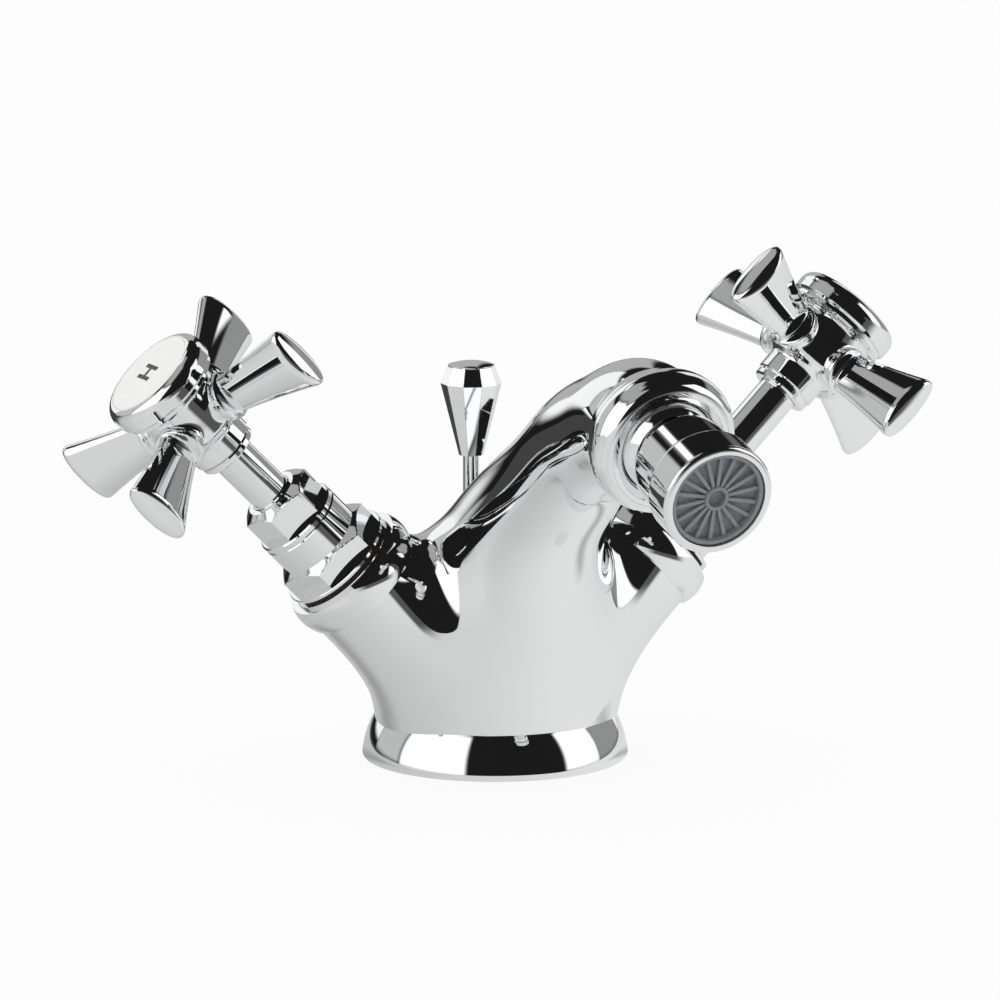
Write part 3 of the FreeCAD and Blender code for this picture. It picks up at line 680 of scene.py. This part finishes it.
def casting_rings(material):
    """Turned parts of the casting: foot, beads of the arms and the ring round the nozzle."""
    foot = bulge_points((foot_r, foot_wide), (foot_low_r, 0.0), edge_steps)[::-1]
    middle = ((foot_r + crease_r) / 2 + foot_bulge, (foot_wide + foot_h) / 2)
    foot += arc_points((foot_r, foot_wide), middle, (crease_r, foot_h), arc_steps)[1:]
    inside = groove_r[1] + foot_fit
    outline = [(inside, 0.0)] + foot + [(inside, foot_h + foot_lap)]
    lathe("foot_ring", outline, Matrix(), material, "tap")
    step = (arm_r + bead_r) / 2
    root = arm_r - arm_sink
    bead = arc_points((step, bead_lo), (bead_r, (bead_lo + bead_hi) / 2), (step, bead_hi), arc_steps)
    outline = [(shank_r, bead_lo), (root, bead_lo)] + bead
    outline += [(root, bead_hi), (root, arm_end), (shank_r, arm_end)]
    for word, side, _ in valves:
        lathe(word + "_arm_bead", outline, valve_place(side), material, "tap")
    ring = arc_points(ring_back, ring_cove, ring_shoulder, ring_steps)
    ring += arc_points(ring_shoulder, ring_widest, ring_front, ring_steps)[1:]
    ring += arc_points(ring_front, ring_edge, ring_lip, edge_steps)[1:]
    ring += [(retainer_r, ring_lip[1]), (retainer_r, retainer_lo), (ball_room_r, retainer_lo),
             (ball_room_r, ball_room_lo), (socket_r, ball_room_lo), (socket_r, ring_back[1])]
    lathe("spout_ring", ring, nozzle_place(), material, "tap")


def blade_form(x, y, z):
    """Distance to one blade: an oval that grows outwards to a crowned tip, with a collar at its root."""
    way = np.clip((x - blade_root) / (blade_tip - blade_root), 0.0, 1.0)
    tall = blade_root_half + (blade_tip_half - blade_root_half) * way ** blade_flare
    thick = blade_root_thick + (blade_tip_thick - blade_root_thick) * way ** blade_swell
    u, v = y / thick, z / tall
    size = np.sqrt(u * u + v * v + tiny)
    side = (size - 1.0) * size / np.sqrt((u / thick) ** 2 + (v / tall) ** 2 + tiny)
    end = x - blade_tip + blade_crown[0] * u * u + blade_crown[1] * v * v
    blade = -smooth_min(-side, -end, blade_round)
    out = np.hypot(y, z)
    collar = -smooth_min(collar_r - out, collar_half - np.abs(x - collar_at), collar_round)
    boss = np.maximum(out - boss_r, x - collar_at)
    return smooth_min(smooth_min(blade, collar, collar_blend), boss, boss_blend)


def crosshead_form(p):
    """Distance to a crosshead's hub and its four blades."""
    x, y, up = p[..., 0], p[..., 1], p[..., 2]
    swell = (hub_core_r - hub_neck_r) * ramp(up, *hub_swell)
    way = np.clip((up - hub_cove_lo) / hub_cove_h, 0.0, 1.0)
    cove = (hub_flange_r - hub_core_r) * way ** hub_cove_power
    hub = np.hypot(x, y) - (hub_neck_r - hub_inset + swell + cove)
    form = np.maximum(hub, np.maximum(hub_core[0] - up, up - hub_core[1]))
    for along, across in ((np.abs(x), y), (np.abs(y), x)):
        form = smooth_min(form, blade_form(along, across, up - cross_up), blade_blend)
    return form


def crosshead_cuts(p):
    """Distance to the spindle's hole and to the index cap's seat."""
    out = np.hypot(p[..., 0], p[..., 1])
    return np.minimum(out - spindle_room, np.maximum(out - plug_r, plug_lo - p[..., 2]))


def crossheads(material):
    """Both handles: hub and blades in one flowing form, with the turned foot and flange of the hub."""
    axes = grid_axes(crosshead_lo, crosshead_hi, crosshead_pitch)
    p = np.stack(np.meshgrid(*axes, indexing="ij"), -1)
    values = np.maximum(crosshead_form(p), -crosshead_cuts(p))
    net = shell_points(values, crosshead_lo, crosshead_pitch, crosshead_form, crosshead_cuts)
    groove_lo, groove_hi = hub_groove
    foot = [(spindle_room, 0.0), (hub_foot_r - hub_foot_bevel, 0.0), (hub_foot_r, hub_foot_bevel),
            (hub_foot_r, groove_lo), (hub_groove_r, groove_lo), (hub_groove_r, groove_hi),
            (hub_neck_r - hub_neck_bevel, groove_hi), (hub_neck_r, groove_hi + hub_neck_bevel),
            (hub_neck_r, hub_neck_h), (spindle_room, hub_neck_h)]
    under_in, under_up = hub_flange_under
    flange = [(plug_r, hub_flange_lo), (hub_flange_r - under_in, hub_flange_lo),
              (hub_flange_r, hub_flange_lo + under_up), (hub_flange_r, hub_h - hub_flange_bevel),
              (hub_flange_r - hub_flange_bevel, hub_h), (plug_r, hub_h)]
    for word, side, opened in valves:
        place = valve_place(side) @ Matrix.Translation((0, 0, hub_bottom + opened))
        turned = place @ Matrix.Rotation(blade_turn[word], 4, "Z")
        blades = shell_object(word + "_blades", net, turned, material, word + "_handle")
        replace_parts(blades, word + "_crosshead")
        lathe(word + "_hub_foot", foot, place, material, word + "_handle")
        lathe(word + "_hub_flange", flange, place, material, word + "_handle")


def hex_flats(across, low, high, turn):
    """Limit of the radius on a hexagon between two heights."""
    def limit(r, h, a):
        if not low < h <= high:
            return r
        away = (a - turn) % (math.pi / 3) - math.pi / 6
        return min(r, across / 2 / math.cos(away))
    return limit


def hex_outline(across, low, high, top_r):
    """Turned outline of a hexagon with its upper corners turned off."""
    corner_r = across / 2 / math.cos(math.pi / 6)
    depth = min(hex_chamfer, (corner_r - top_r) / chamfer_slope)
    rows = [(corner_r, low + hair)]
    for i in range(chamfer_steps + 1):
        cut = depth * i / chamfer_steps
        rows.append((corner_r - chamfer_slope * cut, high - depth + cut))
    return rows


def headwork(material):
    """Bonnets and gland nuts with their hexagons."""
    shank = shank_r - fit_gap
    bonnet = [(skirt_r, skirt_lo), (shank, skirt_lo), (shank, bonnet_foot),
              (flange_r - flange_bevel, bonnet_foot), (flange_r, bonnet_foot + flange_bevel),
              (flange_r, hex_lo - flange_bevel), (flange_r - flange_bevel, hex_lo)]
    bonnet += hex_outline(bonnet_across, hex_lo, hex_hi, barrel_r)
    bonnet += [(barrel_r, hex_hi + 2 * hair), (barrel_r, barrel_hi - barrel_bevel),
               (barrel_r - barrel_bevel, barrel_hi), (packing_r, barrel_hi), (packing_r, packing_lo),
               (bore_r, packing_lo), (bore_r, packing_floor), (thread_r, packing_floor),
               (thread_r, skirt_hi), (skirt_r, skirt_hi)]
    nose = packing_r - fit_gap
    seat = barrel_hi + fit_gap
    gland = [(bore_r, packing_hi), (nose, packing_hi), (nose, seat), (barrel_r - gland_bevel, seat),
             (barrel_r, seat + gland_bevel), (barrel_r, gland_hex_lo - barrel_bevel),
             (barrel_r - barrel_bevel, gland_hex_lo)]
    gland += hex_outline(gland_across, gland_hex_lo, gland_hi, bore_r + gland_wall)
    gland += [(bore_r + barrel_bevel, gland_hi), (bore_r, gland_hi - barrel_bevel)]
    bonnet_flats = hex_flats(bonnet_across, hex_lo, hex_hi + hair, bonnet_turn)
    gland_flats = hex_flats(gland_across, gland_hex_lo, gland_hi + hair, gland_turn)
    for word, side, _ in valves:
        place = valve_place(side)
        piece = lathe(word + "_bonnet_hex", bonnet, place, material, "tap", flats=bonnet_flats)
        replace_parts(piece, word + "_bonnet")
        piece = lathe(word + "_gland_hex", gland, place, material, "tap", flats=gland_flats)
        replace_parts(piece, word + "_gland_nut")


def letter_outline(letter):
    """Plain block capital about its middle."""
    tall, stroke = letter_half, letter_stroke
    if letter == "H":
        inner, bar = h_half - stroke, stroke / 2
        quarter = [(h_half, bar), (h_half, tall), (inner, tall), (inner, bar)]
        left = [(-x, y) for x, y in quarter[::-1]]
        lower = [(-x, -y) for x, y in quarter[1:]]
        return quarter[1:] + left[:3] + lower + [(x, -y) for x, y in quarter[::-1][:3]]
    wide = tall * c_narrow
    turns = [math.radians(c_gap + (360 - 2 * c_gap) * i / c_steps) for i in range(c_steps + 1)]
    rim = [(wide * math.cos(a), tall * math.sin(a)) for a in turns]
    hollow = [((wide - stroke) * math.cos(a), (tall - stroke) * math.sin(a)) for a in turns[::-1]]
    return rim + hollow


def index_faces(enamel, ink):
    """Crowned enamel disc in each index cap, with its letter."""
    for word, side, opened in valves:
        top = index_top + opened
        shares = [i / arc_steps for i in range(arc_steps, -1, -1)]
        crown = [(disc_r * share, top + disc_crown * (1 - share ** 2)) for share in shares]
        back = top - disc_t
        outline = [(0, back), (disc_r - disc_bevel, back), (disc_r, back + disc_bevel)] + crown
        place = valve_place(side)
        body = word + "_handle"
        disc = lathe(word + "_enamel_disc", outline, place, enamel, body, disc_sides)
        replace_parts(disc, word + "_index_disc")
        low = top + disc_crown * letter_root
        high = top + disc_crown + letter_stand
        letter = letter_outline(letters[word])
        prism(word + "_letter", letter, place, low, high, ink, body)


def aerator_face(grey, steel):
    """Insert of the aerator: rim, screen, spokes and a hollow core."""
    place = nozzle_place()
    wall = rim_r - rim_wall
    rim = [(wall, screen_hi), (rim_r, screen_hi), (rim_r, insert_hi - rim_bevel),
           (rim_r - rim_bevel, insert_hi), (wall + rim_lip, insert_hi), (wall, insert_hi - rim_lip)]
    ring = lathe("aerator_rim", rim, place, grey, "nozzle", rim_sides)
    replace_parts(ring, "aerator_insert")
    back, front = screen_hi - screen_t, screen_hi + screen_up
    screen = [(0, back), (screen_r, back), (screen_r, front), (0, front)]
    # The screen's steel carries painted light against the shade between the spokes
    mesh = lathe("aerator_mesh", screen, place, steel, "nozzle", disc_sides)
    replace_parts(mesh, "aerator_screen")
    hole_floor = core_hi - core_hole_h
    core = [(0, screen_hi), (core_r, screen_hi), (core_r, core_hi - core_bevel),
            (core_r - core_bevel, core_hi), (core_hole_r + core_hole_bevel, core_hi),
            (core_hole_r, core_hi - core_hole_bevel), (core_hole_r, hole_floor), (0, hole_floor)]
    lathe("aerator_hub", core, place, grey, "nozzle", core_sides)
    near, far = core_r - spoke_lap, wall + spoke_lap
    half = spoke_t / 2
    wide = half * spoke_widen
    spoke = [(near, -half), (far, -wide), (far, wide), (near, half)]
    for i in range(spoke_count):
        turned = place @ Matrix.Rotation(2 * math.pi * (i + 0.5) / spoke_count, 4, "Z")
        name = "aerator_spoke_%02d" % i
        prism(name, spoke, turned, screen_hi, spoke_hi, grey, "nozzle")


def new_material(name):
    """Material with its nodes, links and shader."""
    material = bpy.data.materials.new(name)
    material.use_nodes = True
    nodes = material.node_tree.nodes
    return material, nodes, material.node_tree.links, nodes["Principled BSDF"]


def surface(name, dark, light, grain, rough, bump, metallic=0.0, edge=0.0):
    """Material whose colour, gloss and relief follow a noise; edge rounds a solid's sharp corners."""
    material, nodes, links, shader = new_material(name)
    shader.inputs["Metallic"].default_value = metallic
    coords = nodes.new("ShaderNodeTexCoord")
    noise = nodes.new("ShaderNodeTexNoise")
    noise.inputs["Scale"].default_value = 1 / (grain * mm)
    noise.inputs["Detail"].default_value = mottle_detail
    links.new(coords.outputs["Object"], noise.inputs["Vector"])
    colours = nodes.new("ShaderNodeValToRGB")
    for stop, colour, position in zip(colours.color_ramp.elements, (dark, light), mottle_span):
        stop.color = (*colour, 1)
        stop.position = position
    links.new(noise.outputs["Fac"], colours.inputs["Fac"])
    links.new(colours.outputs["Color"], shader.inputs["Base Color"])
    gloss = nodes.new("ShaderNodeMapRange")
    gloss.inputs["To Min"].default_value = rough[0]
    gloss.inputs["To Max"].default_value = rough[1]
    links.new(noise.outputs["Fac"], gloss.inputs["Value"])
    links.new(gloss.outputs["Result"], shader.inputs["Roughness"])
    relief = nodes.new("ShaderNodeBump")
    relief.inputs["Strength"].default_value = relief_strength
    relief.inputs["Distance"].default_value = bump * mm
    links.new(noise.outputs["Fac"], relief.inputs["Height"])
    if edge:
        rounded = nodes.new("ShaderNodeBevel")
        rounded.inputs["Radius"].default_value = edge * mm
        links.new(rounded.outputs["Normal"], relief.inputs["Normal"])
    links.new(relief.outputs["Normal"], shader.inputs["Normal"])
    return material


def slot_looks():
    """One finish for each material slot of the record."""
    return {
        "chrome": surface("chrome_edged", *chrome_finish, edge_round),
        "brass": surface("brass", *brass_finish),
        "steel": surface("steel", *steel_with_painted_light_finish),
        "black_rubber": surface("rubber", *rubber_finish),
        "white_plastic": surface("ptfe", *ptfe_finish),
        "red_fibre": surface("fibre", *fibre_finish),
        "grey_plastic": surface("grey_plastic", *grey_finish),
        "white_enamel": surface("enamel", *enamel_finish),
    }


def paint_nodes(looks):
    """Finish of every solid, by its slot in the record."""
    for part in frame["record"]["subparts"]:
        node = frame["nodes"][part["node"]]
        for place in range(len(node.material_slots)):
            node.material_slots[place].material = looks[part["material_slot"]]


def add_camera():
    """Camera at the photograph's viewing angle."""
    turn = math.radians(view_turn)
    rise = math.radians(view_rise)
    right = Vector((math.cos(turn), math.sin(turn), 0))
    back = Vector((math.sin(turn) * math.cos(rise), -math.cos(turn) * math.cos(rise), math.sin(rise)))
    up = back.cross(right)
    camera = bpy.data.objects.new("camera", bpy.data.cameras.new("camera"))
    scene.collection.objects.link(camera)
    place = view_aim[0] * right + view_aim[1] * up + view_distance * back
    turned = Matrix((right, up, back)).transposed().to_4x4()
    camera.matrix_world = Matrix.Translation(place * mm) @ turned
    camera.data.sensor_width = sensor_width
    camera.data.lens = sensor_width * pixels_per_mm * view_distance / picture_width
    camera.data.clip_end = view_reach * mm
    scene.camera = camera


def add_world():
    """White for the camera, an even light for the rest."""
    world = bpy.data.worlds.new("studio")
    scene.world = world
    world.use_nodes = True
    nodes, links = world.node_tree.nodes, world.node_tree.links
    path = nodes.new("ShaderNodeLightPath")
    shaders = []
    for level in (ambient, 1.0):
        shader = nodes.new("ShaderNodeBackground")
        shader.inputs["Color"].default_value = (level, level, level, 1)
        shaders.append(shader)
    seen = nodes.new("ShaderNodeMixShader")
    links.new(path.outputs["Is Camera Ray"], seen.inputs[0])
    links.new(shaders[0].outputs[0], seen.inputs[1])
    links.new(shaders[1].outputs[0], seen.inputs[2])
    links.new(seen.outputs[0], nodes["World Output"].inputs["Surface"])


def window(turn, middle, half, soft):
    """One inside a span of azimuths, falling to zero over its soft edges."""
    away = np.abs((turn - middle + 180.0) % 360.0 - 180.0)
    return ramp(half + soft / 2 - away, 0.0, soft)


def floor_level(out, turn):
    """Brightness of the mirrored floor by distance and azimuth: brightest to the right, with a pool of light
    at the left, a painted shadow beside the foot, and falling off into the dark room in front and behind."""
    def patch(span, distances, strength):
        return strength * window(turn, *span) * ramp(out, *distances)

    level = floor_bright + floor_swing * np.cos(np.radians(turn - floor_side)) + patch(*floor_pool)
    for foot_shadow in floor_foot_shadows:
        # painted shadow beside the foot
        level = level - patch(*foot_shadow)
    for end in floor_ends:
        level = level * (1.0 - patch(*end))
    return level


def level_material(name):
    """Material that glows by the level kept on its points."""
    material, nodes, links, shader = new_material(name)
    attribute = nodes.new("ShaderNodeAttribute")
    attribute.attribute_name = "level"
    emit = nodes.new("ShaderNodeEmission")
    links.new(attribute.outputs["Fac"], emit.inputs["Strength"])
    return material, nodes, links, shader, emit


def polar_sheet(name, points, levels, material):
    """Closed rows of points round the object, each with its level."""
    rows, cols = levels.shape
    faces = []
    for j in range(rows - 1):
        for i in range(cols):
            k = (i + 1) % cols
            faces.append((j * cols + i, j * cols + k, (j + 1) * cols + k, (j + 1) * cols + i))
    mesh = bpy.data.meshes.new(name)
    mesh.from_pydata((points.reshape(-1, 3) * mm).tolist(), [], faces)
    mesh.attributes.new("level", "FLOAT", "POINT").data.foreach_set("value", levels.ravel())
    mesh.materials.append(material)
    sheet = bpy.data.objects.new(name, mesh)
    scene.collection.objects.link(sheet)
    return sheet


def add_floor():
    """White floor with the object's shadow; metal mirrors it by its levels."""
    distances = np.geomspace(floor_start, floor_reach, floor_rows)
    turn, out = np.meshgrid(np.arange(0.0, 360.0, floor_turn), distances)
    a = np.radians(turn)
    points = np.stack([out * np.sin(a), -out * np.cos(a), np.zeros_like(a)], -1)
    material, nodes, links, shader, mirrored = level_material("floor_white")
    shader.inputs["Base Color"].default_value = (floor_white, floor_white, floor_white, 1)
    shader.inputs["Roughness"].default_value = floor_rough
    path = nodes.new("ShaderNodeLightPath")
    white = nodes.new("ShaderNodeEmission")
    share = nodes.new("ShaderNodeMath")
    share.operation = "MULTIPLY"
    share.inputs[1].default_value = floor_glow
    links.new(path.outputs["Is Camera Ray"], share.inputs[0])
    seen = nodes.new("ShaderNodeMixShader")
    links.new(share.outputs[0], seen.inputs[0])
    links.new(shader.outputs[0], seen.inputs[1])
    links.new(white.outputs[0], seen.inputs[2])
    either = nodes.new("ShaderNodeMixShader")
    links.new(path.outputs["Is Glossy Ray"], either.inputs[0])
    links.new(seen.outputs[0], either.inputs[1])
    links.new(mirrored.outputs[0], either.inputs[2])
    links.new(either.outputs[0], nodes["Material Output"].inputs["Surface"])
    polar_sheet("floor", points, floor_level(out, turn), material)


def add_room():
    """Dome with the soft boxes, which only mirrors see."""
    elevations = np.linspace(room_low, 90.0, room_rows)
    turn, rise = np.meshgrid(np.arange(0.0, 360.0, room_turn), elevations)
    level = np.full_like(turn, room_dark)
    for (left, right), (bottom, top), bright, soft in soft_boxes:
        across = window(turn, (left + right) / 2, (right - left) / 2, soft)
        low = ramp(rise, bottom - soft / 2, bottom + soft / 2)
        high = ramp(top - rise, -soft / 2, soft / 2)
        level = np.maximum(level, bright * across * low * high)
    a, e = np.radians(turn), np.radians(rise)
    points = np.stack([np.sin(a) * np.cos(e), -np.cos(a) * np.cos(e), np.sin(e)], -1) * room_reach
    material, nodes, links, _, emit = level_material("soft_boxes")
    links.new(emit.outputs[0], nodes["Material Output"].inputs["Surface"])
    dome = polar_sheet("room", points + np.array((0.0, 0.0, room_up)), level, material)
    dome.visible_camera = False
    dome.visible_diffuse = False
    dome.visible_shadow = False


looks = slot_looks()
paint_nodes(looks)
chrome = surface("chrome", *chrome_finish)
casting_shell(chrome)
casting_rings(chrome)
crossheads(chrome)
headwork(chrome)
index_faces(looks["white_enamel"], surface("ink", *ink_finish))
aerator_face(looks["grey_plastic"], looks["steel"])
add_camera()
add_world()
add_floor()
add_room()
scene.view_settings.view_transform = "Standard"
